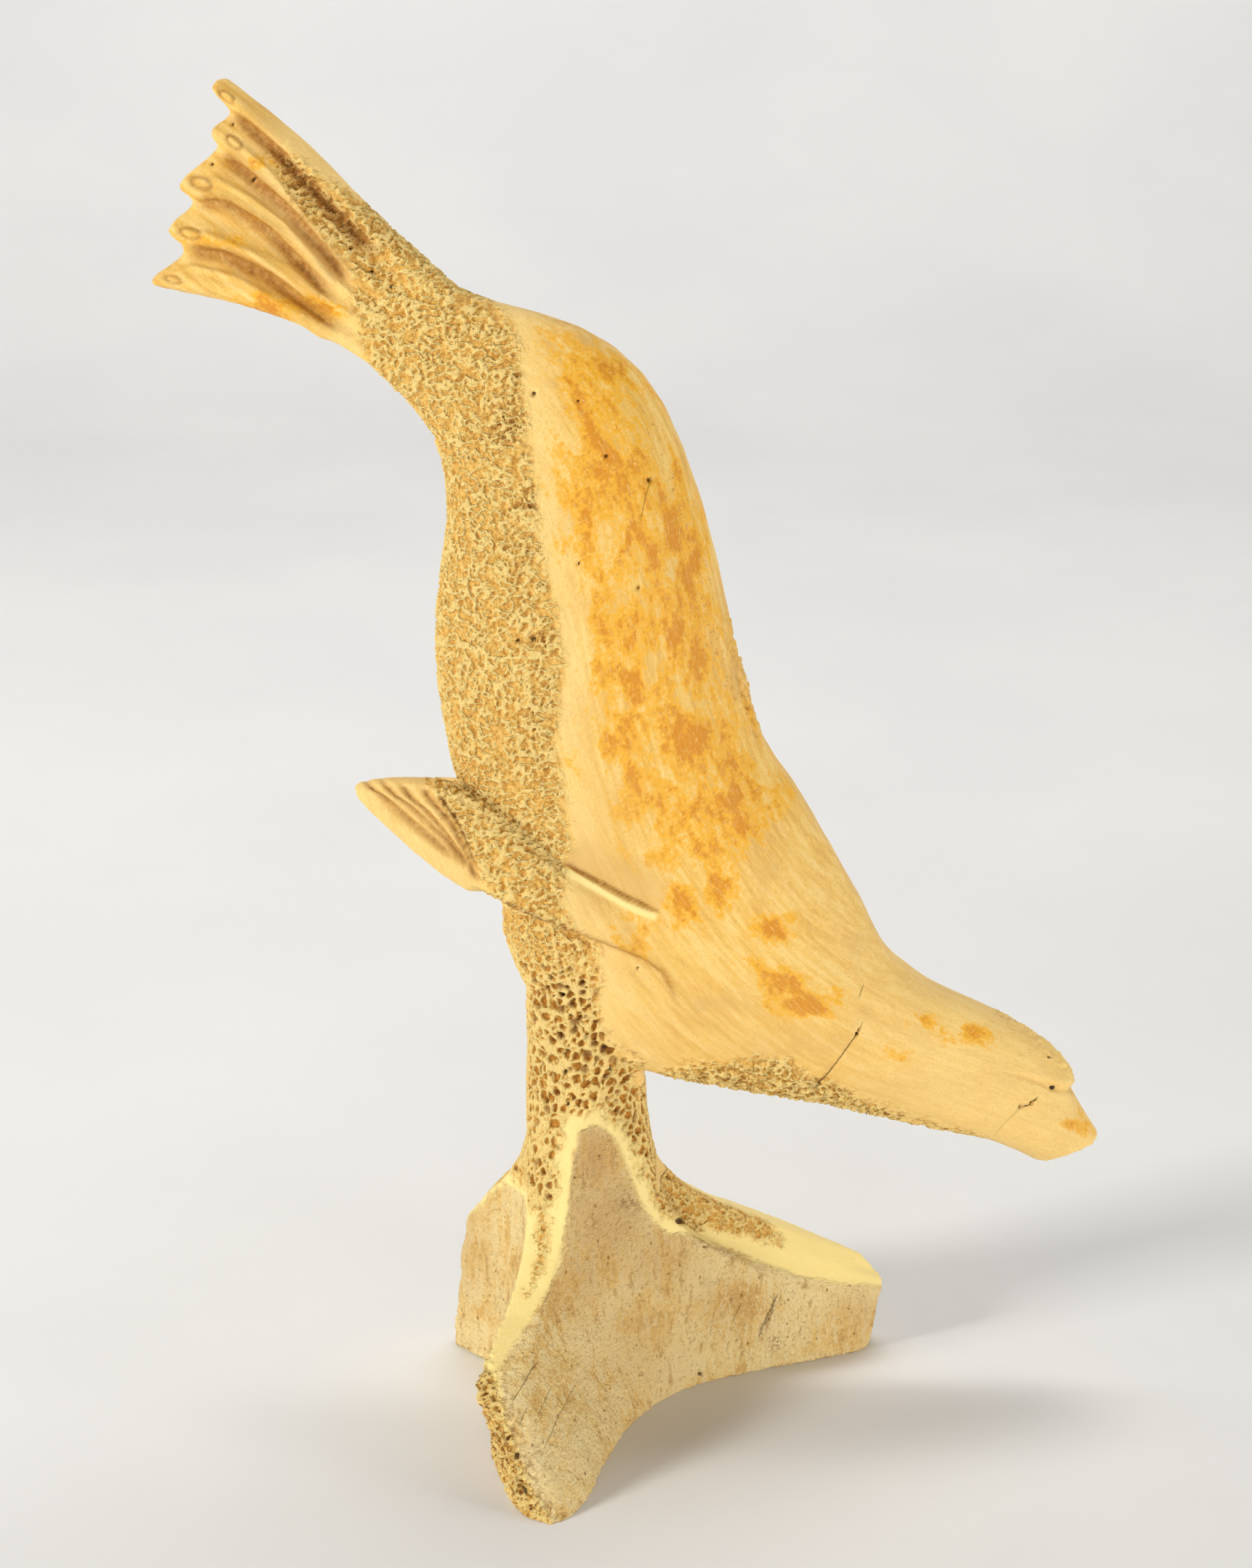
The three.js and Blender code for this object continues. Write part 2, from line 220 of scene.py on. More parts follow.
# Fine dark cracks and how dark each is
CRACKS = [
    ([(1190, 1400), (1179, 1422), (1150, 1462), (1132, 1485), (1112, 1508)], 0.7),
    ([(1189, 1352), (1181, 1373)], 0.35),
    ([(1429, 1508), (1416, 1521), (1398, 1524)], 1.0),
    ([(1408, 1521), (1385, 1541), (1364, 1564)], 0.2),
    ([(898, 650), (889, 680), (880, 722)], 0.3),
    ([(1072, 1776), (1056, 1812), (1040, 1846)], 0.75),
    ([(1047, 1832), (1062, 1806), (1066, 1776)], 0.4),
    ([(744, 1868), (722, 1900), (703, 1931)], 0.7),
    ([(796, 1895), (770, 1945), (744, 2000)], 0.35),
    ([(727, 1932), (713, 1964)], 0.4),
    ([(1012, 1902), (1070, 1880)], 0.35),
    ([(1110, 1800), (1098, 1838)], 0.5),
    ([(1138, 1790), (1120, 1836)], 0.4),
    ([(1168, 1800), (1156, 1832)], 0.35),
    ([(1020, 1790), (1006, 1822)], 0.4),
    ([(760, 1905), (738, 1950)], 0.4),
    ([(985, 1795), (975, 1840)], 0.25),
]

# Fan of the hind flippers: crests of the five digits and the lines between them
CRESTS = [
    [(300, 118), (335, 150), (380, 190), (425, 232), (475, 285), (530, 345)],
    [(300, 178), (340, 210), (367, 233), (424, 302), (481, 375), (504, 404)],
    [(268, 252), (299, 247), (345, 273), (390, 307), (430, 353), (464, 398)],
    [(244, 315), (288, 324), (345, 347), (402, 387), (447, 432)],
    [(225, 385), (262, 366), (322, 381), (407, 432), (464, 478)],
]
VALLEYS = [
    [(312, 147), (350, 182), (379, 208), (424, 256), (475, 307), (528, 362)],
    [(298, 206), (350, 250), (396, 290), (447, 347), (487, 398)],
    [(262, 276), (311, 281), (368, 319), (419, 370), (464, 421)],
    [(250, 341), (311, 353), (368, 381), (424, 421), (475, 461)],
]
# Nails: centre, half length, half width and slope in degrees
NAILS = [
    (312, 133, 12, 6, 40), (322, 195, 12, 6, 45), (277, 251, 14, 8, 18), (262, 321, 14, 8, 14),
    (238, 384, 11, 5, 20),
]

# Near fore flipper
FLIPPER_GROOVES = [
    [(498, 1068), (525, 1097), (559, 1125), (593, 1153), (627, 1185)],
    [(520, 1068), (554, 1105), (588, 1134), (616, 1162), (642, 1194)],
    [(545, 1073), (579, 1111), (605, 1139), (627, 1170), (646, 1200)],
    [(576, 1078), (602, 1111), (622, 1139), (636, 1168), (650, 1202), (667, 1219)],
    [(602, 1088), (627, 1128), (642, 1162), (658, 1205)],
]
# Bevelled ridge where the flipper's upper edge lies on the body; its brightness is a painted highlight
FLIPPER_RIDGE = [(768, 1186), (790, 1200), (820, 1216), (860, 1238), (908, 1259)]
# Upper edge of the flipper's spongy root, from the free edge to the ridge, raised and painted with a
# highlight
FLIPPER_TOP = [(590, 1080), (630, 1090), (680, 1116), (717, 1140), (757, 1172), (782, 1194)]
FLIPPER_FOOT = [
    (676, 1232), (713, 1252), (758, 1270), (798, 1285), (838, 1301), (883, 1318), (912, 1338), (926, 1366),
    (932, 1392),
]
FLIPPER_MIDDLE = [(490, 1085), (700, 1190), (900, 1300)]
# The far flipper sits this much further along x and z than the near one
FAR_FLIPPER_SHIFT = (5, -10)

# Crumbled edges and how far the crumbling reaches, in millimetres
ROUGH_EDGES = [
    ([(1372, 1392), (1405, 1412), (1440, 1436), (1462, 1462), (1484, 1490)], 1.5),
    ([(1003, 850), (1016, 915), (1040, 1000)], 1.6),
    ([(660, 1880), (664, 1930), (690, 2010), (712, 2070), (760, 2100)], 5.0),
    ([(632, 1690), (630, 1760), (634, 1850)], 2.5),
]

# Head
EYE = (1450, 1496)
BROW = [(1366, 1470), (1403, 1476), (1424, 1483), (1446, 1493), (1461, 1497), (1482, 1496)]
NOTCH = (1482, 1497)
FLAKE = [(1017, 912), (1020, 930), (1024, 952)]

# Centre line of the seal from the ankle to the nose, as x and z in millimetres: the grain of the bone and
# the carver's sanding follow it
SPINE = [
    (-90, 296), (-40, 254), (-12, 226), (-2, 195), (4, 165), (15, 135), (34, 108), (62, 86), (95, 70),
    (130, 52),
]

# Half widths, heights and depths of what is carved, in millimetres
CREST_WIDTH, CREST_HEIGHT = 0.7, 0.6
VALLEY_WIDTH, VALLEY_DEPTH = 1.0, 1.2
NAIL_DEPTH = 0.5
GROOVE_WIDTH, GROOVE_DEPTH = 0.7, 1.2
RIDGE_HEIGHT, RECESS_DEPTH = 0.7, 1.1
LIP_HEIGHT = 0.3
FOOT_HEIGHT, FOOT_DEPTH = 0.3, 1.5
BROW_HEIGHT, BROW_DEPTH = 0.5, 0.6
NOTCH_WIDTH, NOTCH_DEPTH = 1.3, 1.0
EYE_WIDTH, EYE_DEPTH = 0.8, 0.6
FLAKE_HEIGHT, FLAKE_DEPTH = 0.5, 0.6
CRACK_WIDTH, CRACK_DEPTH = 0.4, 0.4
PIT_DEPTH = 0.9

# Colours of the bone
DENSE_DEEP = (0.80, 0.46, 0.095, 1)
DENSE_LIGHT = (0.85, 0.54, 0.130, 1)
DENSE_PALE = (0.90, 0.645, 0.24, 1)
SCRATCH = (0.92, 0.71, 0.28, 1)
SHADE = (0.66, 0.35, 0.075, 1)
ORANGE = (0.86, 0.43, 0.020, 1)
ORANGE_DEEP = (0.66, 0.24, 0.006, 1)
# Cream of the spongy ridges and the flipper's lip, lightened as a painted highlight
RIDGE_CREAM_AND_HIGHLIGHT = (0.98, 0.72, 0.26, 1)
SPONGE_GROUND = (0.94, 0.58, 0.145, 1)
STEM_GROUND = (0.70, 0.34, 0.055, 1)
# Ochre of the spongy bone's hollows and pits, also laid on as painted shade by depth
HOLLOW_OCHRE_AND_SHADE = (0.60, 0.25, 0.030, 1)
PORE = (0.33, 0.13, 0.020, 1)
# Brown of dirt, also used as painted shade over the stem
DIRT_AND_SHADE_BROWN = (0.20, 0.060, 0.008, 1)
OLD_DEEP = (0.90, 0.60, 0.20, 1)
OLD_LIGHT = (0.95, 0.74, 0.35, 1)
OLD_BRIGHT = (0.95, 0.76, 0.38, 1)
OLD_DARK = (0.52, 0.29, 0.095, 1)
OLD_RED = (0.55, 0.25, 0.06, 1)
BLACKENED = (0.04, 0.016, 0.007, 1)
# Greyer tone of dense bone, also laid on as painted shade
GREY_TONE_AND_SHADE = (0.68, 0.44, 0.155, 1)
# Whiter compact bone of the base's cut rims, also the painted highlight on the flipper's ridge
BRIGHT_RIM_AND_HIGHLIGHT = (0.97, 0.79, 0.32, 1)
# Painted shade in carved lines and under the flipper's edges
GROOVE_SHADE = (0.40, 0.17, 0.030, 1)

# Studio
FLOOR_TINTS = (0.78, 0.78, 0.78, 1), (0.82, 0.82, 0.815, 1)
FLOOR_ROUGHNESS = 0.8
WORLD_TINT = (1.0, 0.97, 0.93, 1)
WORLD_STRENGTH = 0.16


def camera_axes():
    pitch = math.radians(CAMERA_PITCH)
    ahead = np.array([0, math.cos(pitch), -math.sin(pitch)])
    up = np.array([0, math.sin(pitch), math.cos(pitch)])
    eye = np.array(CAMERA_TARGET) - CAMERA_DISTANCE * ahead
    return eye, ahead, up


def pixels_of(points):
    """Where points fall in the picture."""
    eye, ahead, up = camera_axes()
    offset = points - eye
    depth = offset @ ahead
    u = PICTURE_WIDTH / 2 + FOCAL_PIXELS * offset[:, 0] / depth
    v = PICTURE_HEIGHT / 2 - FOCAL_PIXELS * (offset @ up) / depth
    return np.stack([u, v], 1)


def near_pixels(points, far_shift=(0, 0)):
    """The picture's pixels for both flanks: the far flank repeats the near one, shifted in x and z."""
    mirrored = points.copy()
    far = points[:, 1] > 0
    mirrored[far, 0] -= far_shift[0]
    mirrored[far, 2] -= far_shift[1]
    mirrored[far, 1] *= -1
    return pixels_of(mirrored)


def ramp(values, low, high):
    t = np.clip((values - low) / (high - low), 0, 1)
    return t * t * (3 - 2 * t)


def between(values, start, full, fading, gone):
    """Rises from 0 at start to 1 at full and falls again from fading to 0 at gone."""
    return ramp(values, start, full) * (1 - ramp(values, fading, gone))


def line_offsets(pixels, line, reach=FAR_AWAY):
    """Distance to a line in pixels, the side of the line and the share of the way along it.

    Points further than reach from the line's box keep the distance FAR_AWAY.
    """
    corners = np.array(line, float)
    low, high = corners.min(0) - reach, corners.max(0) + reach
    close = np.nonzero(((pixels > low) & (pixels < high)).all(1))[0]
    chosen = pixels[close]
    steps = np.linalg.norm(np.diff(corners, axis=0), axis=1)
    reached = np.concatenate([[0], np.cumsum(steps)])
    best = np.full(len(close), float(FAR_AWAY))
    side = np.ones(len(close))
    along = np.zeros(len(close))
    for a, b, start, step in zip(corners, corners[1:], reached, steps):
        way = (b - a) / step
        offset = chosen - a
        t = np.clip(offset @ way, 0, step)
        gap = offset - t[:, None] * way
        distance = np.hypot(gap[:, 0], gap[:, 1])
        turn = way[0] * offset[:, 1] - way[1] * offset[:, 0]
        closer = distance < best
        best[closer] = distance[closer]
        side[closer] = np.where(turn[closer] < 0, -1, 1)
        along[closer] = start + t[closer]
    found = [np.full(len(pixels), float(FAR_AWAY)), np.ones(len(pixels)), np.zeros(len(pixels))]
    for whole, part in zip(found, (best, side, along / reached[-1])):
        whole[close] = part
    return found


def beside(pixels, line, reach=FAR_AWAY):
    """Distance to a line in millimetres, positive on its lower side, and the share of the way along it."""
    distance, side, along = line_offsets(pixels, line, reach)
    return distance * side / PIXELS_PER_MM, along


def stroke(pixels, line, width, start=0.1, end=0.1):
    """Share of a soft line at each point: its half width in millimetres, and how much of each end fades."""
    distance, _, along = line_offsets(pixels, line, 4 * width * PIXELS_PER_MM)
    return np.exp(-((distance / PIXELS_PER_MM / width) ** 2)) * between(along, 0, start, 1 - end, 1)


def spot(pixels, centre, stretch=1.0):
    """Distance to a point of the picture in millimetres, upright distances counted by stretch."""
    return np.hypot(pixels[:, 0] - centre[0], (pixels[:, 1] - centre[1]) * stretch) / PIXELS_PER_MM


def inside_by(pixels, outline):
    """How far inside a closed outline each point lies, in millimetres: negative outside."""
    corners = np.array(outline, float)
    inside = np.zeros(len(pixels), bool)
    for a, b in zip(corners, np.roll(corners, -1, 0)):
        crosses = (a[1] > pixels[:, 1]) != (b[1] > pixels[:, 1])
        rise = b[1] - a[1] if b[1] != a[1] else 1 / FAR_AWAY
        inside ^= crosses & (pixels[:, 0] < (b[0] - a[0]) * (pixels[:, 1] - a[1]) / rise + a[0])
    distance = line_offsets(pixels, outline + outline[:1], FIELD_REACH * PIXELS_PER_MM)[0]
    return np.clip(np.where(inside, distance, -distance) / PIXELS_PER_MM, -FIELD_REACH, FIELD_REACH)


def blobs(pixels, spots):
    field = np.zeros(len(pixels))
    for u, v, width, height, strength in spots:
        reach = ((pixels[:, 0] - u) / width) ** 2 + ((pixels[:, 1] - v) / height) ** 2
        field = np.maximum(field, strength * np.exp(-0.7 * reach))
    return field


def rounded(line, steps):
    """A curve through the corners of a line, as closer corners."""
    corners = np.array(line, float)
    corners = np.vstack([2 * corners[0] - corners[1], corners, 2 * corners[-1] - corners[-2]])
    curve = []
    for a, b, c, d in zip(corners, corners[1:], corners[2:], corners[3:]):
        for k in range(steps):
            t = k / steps
            bend = (2 * a - 5 * b + 4 * c - d) * t * t + (3 * b - a - 3 * c + d) * t ** 3
            curve.append((2 * b + (c - a) * t + bend) / 2)
    return np.array(curve + [corners[-2]])


class Skin:
    """The carving's surface as plain arrays: points in millimetres, quads and the edges between points."""

    def __init__(self, mesh):
        self.points = read_points(mesh)
        corners = np.zeros(len(mesh.loops), np.int32)
        mesh.loops.foreach_get("vertex_index", corners)
        self.quads = corners.reshape(-1, 4)
        self.edges = np.zeros(len(mesh.edges) * 2, np.int32)
        mesh.edges.foreach_get("vertices", self.edges)
        self.edges = self.edges.reshape(-1, 2)

    def gathered(self, values):
        """Sum of the neighbours' values at each point."""
        a, b = self.edges.T
        count = len(self.points)
        return np.bincount(a, values[b], count) + np.bincount(b, values[a], count)

    def relax(self, weights, rounds):
        """Smooths without shrinking, more where the weights are high."""
        step = 0.6
        neighbours = self.gathered(np.ones(len(self.points)))
        for _ in range(rounds):
            for factor in (step, -step * 1.02):
                mean = np.stack([self.gathered(self.points[:, k]) / neighbours for k in range(3)], 1)
                self.points += (factor * weights)[:, None] * (mean - self.points)

    def normals(self):
        a, b, c, d = (self.points[self.quads[:, k]] for k in range(4))
        face = np.cross(c - a, d - b)
        total = np.zeros_like(self.points)
        for k in range(4):
            for axis in range(3):
                total[:, axis] += np.bincount(self.quads[:, k], face[:, axis], len(self.points))
        return total / np.maximum(np.linalg.norm(total, axis=1), 1e-9)[:, None]

    def push(self, heights):
        self.points += heights[:, None] * self.normals()


def read_points(mesh):
    points = np.zeros(len(mesh.vertices) * 3, np.float32)
    mesh.vertices.foreach_get("co", points)
    return points.reshape(-1, 3).astype(float) / MM


def read_field(mesh, name):
    values = np.zeros(len(mesh.vertices), np.float32)
    mesh.attributes[name].data.foreach_get("value", values)
    return values.astype(float)


def shown_as(name, data):
    """A new object in the scene with the given mesh, light or camera."""
    obj = bpy.data.objects.new(name, data)
    bpy.context.scene.collection.objects.link(obj)
    return obj


def with_modifier(mesh, kind, read, **settings):
    """What read makes of a mesh after one modifier."""
    carrier = shown_as("carrier", mesh)
    modifier = carrier.modifiers.new("step", kind)
    for name, value in settings.items():
        setattr(modifier, name, value)
    evaluated = carrier.evaluated_get(bpy.context.evaluated_depsgraph_get())
    result = read(evaluated.to_mesh())
    evaluated.to_mesh_clear()
    bpy.data.objects.remove(carrier)
    return result


def smooth(skin):
    """Takes the facets out: much on the body, little where the bone is carved or cut to an edge."""
    x, y, z = skin.points.T
    pixels = near_pixels(skin.points, FAR_FLIPPER_SHIFT)
    tail = ramp(z, *TAIL_HEIGHTS) * ramp(-x, *TAIL_WAY)
    flipper = 1 - ramp(line_offsets(pixels, FLIPPER_MIDDLE)[0], *FLIPPER_REACHES)
    low = 1 - ramp(z, *LOW_HEIGHTS)
    head = ramp(x, *HEAD_WAY)
    sharp = np.maximum.reduce([tail, flipper, low, 0.6 * head])
    skin.relax(np.ones(len(x)), SKIN_ROUNDS)
    skin.relax(1 - sharp, BODY_ROUNDS)


def carve(skin):
    """The carver's lines and edges, and the flaws of the bone."""
    pixels = near_pixels(skin.points)
    on_flipper = near_pixels(skin.points, FAR_FLIPPER_SHIFT)
    near = skin.points[:, 1] < NEAR_SIDE
    skin.push(fan_relief(pixels) + flipper_relief(on_flipper) + head_relief(pixels) + flaws(pixels) * near)


def fan_relief(pixels):
    height = np.zeros(len(pixels))
    for line in CRESTS:
        height += CREST_HEIGHT * stroke(pixels, line, CREST_WIDTH)
    for line in VALLEYS:
        height -= VALLEY_DEPTH * stroke(pixels, line, VALLEY_WIDTH, 0.2, 0.2)
    for nail in NAILS:
        height -= NAIL_DEPTH * nail_ring(pixels, nail)
    return height


def flipper_relief(pixels):
    height = np.zeros(len(pixels))
    for line in FLIPPER_GROOVES:
        height -= GROOVE_DEPTH * stroke(pixels, line, GROOVE_WIDTH, 0.12, 0.12)
    below, along = beside(pixels, FLIPPER_RIDGE, 100)
    ends = between(along, 0, 0.12, 0.8, 1)
    height -= RECESS_DEPTH * between(-below, 0.1, 0.7, 1.5, 11) * ends
    height += RIDGE_HEIGHT * between(-below, -2.4, -0.2, -0.1, 0.5) * ends
    below, along = beside(pixels, FLIPPER_TOP, 60)
    height += LIP_HEIGHT * between(-below, -2.4, -0.8, -0.6, 0.6) * between(along, 0, 0.15, 0.9, 1)
    below, along = beside(pixels, FLIPPER_FOOT, 60)
    fading = 1 - ramp(along, 0.7, 1)
    height -= FOOT_DEPTH * between(below, -0.3, 0.7, 1.0, 6) * fading
    height += FOOT_HEIGHT * between(below, -3.0, -0.8, -0.6, 0.2) * fading
    return height


def head_relief(pixels):
    below, along = beside(pixels, BROW)
    height = BROW_HEIGHT * np.exp(-(((below + 1.6) / 1.2) ** 2)) * ramp(along, 0.3, 0.8)
    height -= BROW_DEPTH * np.exp(-(((below - 0.3) / 0.6) ** 2)) * ramp(along, 0, 0.4)
    height -= NOTCH_DEPTH * np.exp(-((spot(pixels, NOTCH) / NOTCH_WIDTH) ** 2))
    height -= EYE_DEPTH * np.exp(-((spot(pixels, EYE, 1.4) / EYE_WIDTH) ** 2))
    return height


def flaws(pixels):
    """The splinter on the back, the cracks and the open pits, which only the near side has."""
    below, _ = beside(pixels, FLAKE)
    height = FLAKE_HEIGHT * np.exp(-(((below + 0.5) / 0.5) ** 2))
    height -= FLAKE_DEPTH * np.exp(-(((below - 0.4) / 0.4) ** 2))
    for line, strength in CRACKS:
        height -= CRACK_DEPTH * strength * stroke(pixels, line, CRACK_WIDTH)
    for u, v, size in PITS:
        reach = np.hypot(pixels[:, 0] - u, pixels[:, 1] - v) / size
        height -= PIT_DEPTH * np.exp(-(reach ** 4))
    return height


def nail_ring(pixels, nail):
    """Share of the fine groove round a nail's oval at each point."""
    u, v, length, width, slope = nail
    turn = math.radians(slope)
    du, dv = pixels[:, 0] - u, pixels[:, 1] - v
    along = (du * math.cos(turn) + dv * math.sin(turn)) / length
    across = (dv * math.cos(turn) - du * math.sin(turn)) / width
    return np.exp(-(((np.hypot(along, across) - 1) / 0.3) ** 2))


def border_distance(skin, cut):
    """Distance to the border between cut and natural faces, positive on the cut ones."""
    a, b = skin.edges.T
    on_border = np.unique(a[cut[a] != cut[b]])
    tree = KDTree(len(on_border))
    for index in on_border:
        tree.insert(skin.points[index], int(index))
    tree.balance()
    distance = np.full(len(cut), BORDER_REACH)
    for index in np.nonzero(skin.points[:, 2] < STEM_TOP)[0]:
        distance[index] = tree.find(skin.points[index])[2]
    return np.where(cut, distance, -distance)


def marks(skin):
    """The fields that the surface patterns follow, by attribute name. Those ending in _mm are distances."""
    x, y, z = skin.points.T
    pixels = near_pixels(skin.points)
    on_flipper = near_pixels(skin.points, FAR_FLIPPER_SHIFT)
    straight = pixels_of(skin.points)
    base = (z < WINGS_TOP) | ((z < STEM_TOP) & (x < STEM_SIDE))

    body_sponge = inside_by(pixels, SPONGE_LINE + SPONGE_FAR_SIDE)
    fan_end = (x - FAN_END[0] + FAN_SLANT * (z - FAN_END[1])) * 0.9
    body_sponge = np.minimum(body_sponge, np.where(z > FAN_ROOT, fan_end, FIELD_REACH))
    body_sponge = np.maximum(body_sponge, inside_by(pixels, FAN_PITTED))
    band = -body_sponge
    tip = inside_by(on_flipper, FLIPPER_TIP)
    body_sponge = np.minimum(body_sponge, -tip)
    cream = np.maximum(0.9 * ramp(x, *CREAM_WAY), ramp(tip, -1, 2))
    throat = inside_by(pixels, THROAT)
    seal_sponge = np.maximum(body_sponge, throat)

    # On the base the spongy bone starts behind the rim, which widens outwards
    natural, inside_web = natural_faces(skin, straight)
    edge = border_distance(skin, ~(natural & base))
    natural_mm = np.where(inside_web < FAR_AWAY, inside_web, -edge)
    out = np.hypot(x, 1.5 * y)
    rim = RIM_WIDTH + np.where(x > 0, *RIM_GROWTH) * (out - STEM_SIDE).clip(0)
    base_sponge = np.minimum(np.minimum(edge - rim, 12), 0.8 * (SPONGE_TIP - out))
    base_sponge = np.maximum(base_sponge, inside_by(straight, WING_END))
    coarse_seal = (1 - ramp(z, *COARSE_HEIGHTS)) * (1 - ramp(x, *COARSE_WAY))

    rough = np.full(len(x), -float(FIELD_REACH))
    for line, reach in ROUGH_EDGES:
        distance = line_offsets(straight, line, 10 * PIXELS_PER_MM)[0]
        rough = np.maximum(rough, reach - distance / PIXELS_PER_MM)
    crack, crack_strength = crack_fields(straight, y)
    below, along = beside(on_flipper, FLIPPER_RIDGE, 100)
    above = -below
    ends = between(along, 0, 0.12, 0.95, 1)
    # Painted highlight along the top of the flipper's ridge
    ridge_highlight = ends * between(above, -2.0, -1.2, -0.1, 0.3)
    # Painted shade in the carved recess above the flipper's ridge
    recess_shade = ends * between(above, 0.3, 1.0, 5, 13)
    # Painted shade in carved lines, and the painted shadow line just above the flipper's ridge
    groove = np.maximum(groove_shade_share(pixels, on_flipper), ends * between(above, 0.1, 0.5, 0.6, 1.2))
    below, along = beside(on_flipper, FLIPPER_TOP, 60)
    # Painted highlight along the flipper's upper edge
    lip_highlight = 0.9 * between(-below, -2.4, -1.2, -0.4, 0.3) * ramp(along, 0, 0.2)
    stain = 0.8 * ramp(inside_by(pixels, ORANGE_FIELD), -4, 8)

    return {
        "sponge_mm": np.where(base, base_sponge, seal_sponge),
        "natural_mm": np.where(base, natural_mm, -FIELD_REACH).clip(-FIELD_REACH, FIELD_REACH),
        "crumble_mm": np.maximum(np.where(base, -FIELD_REACH, throat), rough),
        "coarse": np.where(base, 0.25 + 0.75 * ramp(z, 40, 62), coarse_seal),
        "orange": np.maximum(blobs(pixels, STAINS), stain),
        "dirt_and_shade": blobs(straight, DIRT_AND_SHADE),
        "crack": crack,
        "crack_strength": crack_strength,
        "pit": pit_field(straight, y),
        "pale": np.where(base, 0, np.maximum(between(band, -1, 1, 1, 11), cream)),
        "painted_grey_shade": np.maximum(recess_shade, blobs(pixels, SHADED_GREY_PATCHES)),
        "bright_rim_and_highlight": np.maximum(ridge_highlight, np.where(base, 0.95, 0)),
        "lip_highlight": lip_highlight,
        "groove": groove,
        "tint": blobs(straight, WEB_TINTS),
        "back": ramp(inside_by(pixels, BACK_PITS), -3, 2) * np.where(base, 0, 1),
        "eye": spot(pixels, EYE, 1.5).clip(0, 10),
        "relief": ramp(z, 0.3, 2.5),
    }


def groove_shade_share(pixels, on_flipper):
    """Share of painted shade in carved lines: under the flipper's lower edge, in the fan's valleys, round
    the nails and in the flippers' grooves.
    """
    share = 0.9 * stroke(on_flipper, FLIPPER_FOOT, 0.8, end=0.15)
    for line in VALLEYS:
        share = np.maximum(share, stroke(pixels, line, 1.8, end=0.15))
    for line in FLIPPER_GROOVES:
        share = np.maximum(share, 0.9 * stroke(on_flipper, line, 0.6, end=0.15))
    for nail in NAILS:
        share = np.maximum(share, 0.7 * nail_ring(pixels, nail))
    return share


def natural_faces(skin, pixels):
    """Which points lie on the bone's own outside: those of the picture's web, and upright faces elsewhere.

    Also how far inside the web's outline each point of the front lies, FAR_AWAY for other points.
    """
    y, z = skin.points[:, 1], skin.points[:, 2]
    normals = skin.normals()
    shown = (y < WEB_BACK) & ((pixels[:, 0] > LEFT_WING_EDGE) | (y < LEFT_WING_FRONT))
    web = inside_by(pixels, WEB)
    upright = (normals[:, 2] < MOST_UPWARD) & (normals[:, 2] > MOST_DOWNWARD) & (z < UPRIGHT_TOP)
    front = shown & (normals[:, 1] < 0)
    natural = np.where(front, (web > 0) & (z < ARCH_TOP), upright)
    return natural, np.where(front & (z < WEB_TOP), web, FAR_AWAY)


def crack_fields(pixels, y):
    """Sideways distance to the nearest crack in millimetres, with its sign, and how dark that crack is."""
    nearest = np.full(len(pixels), CRACK_REACH)
    strength = np.zeros(len(pixels))
    for line, darkness in CRACKS:
        offset, along = beside(pixels, line, CRACK_REACH * PIXELS_PER_MM)
        closer = np.abs(offset) < np.abs(nearest)
        shade = darkness * between(along, 0, 0.2, 0.8, 1) * (1 - ramp(np.abs(offset), 0.7, 1.3))
        strength = np.where(closer, shade, strength)
        nearest = np.where(closer, offset, nearest)
    return nearest, np.where(y < NEAR_SIDE, strength, 0)


def pit_field(pixels, y):
    """Distance to the nearest dark pit, as a share of that pit's half size."""
    nearest = np.full(len(pixels), PIT_REACH)
    for u, v, size in PITS:
        nearest = np.minimum(nearest, np.hypot(pixels[:, 0] - u, pixels[:, 1] - v) / size)
    return np.where(y < NEAR_SIDE, nearest, PIT_REACH)


def grain(points):
    """Place along the seal's centre line and across it, for patterns that follow the body."""
    line = rounded(SPINE, 6)
    distance, side, along = line_offsets(points[:, [0, 2]], line)
    length = np.linalg.norm(np.diff(line, axis=0), axis=1).sum()
    return np.stack([along * length, distance * side, points[:, 1]], 1)


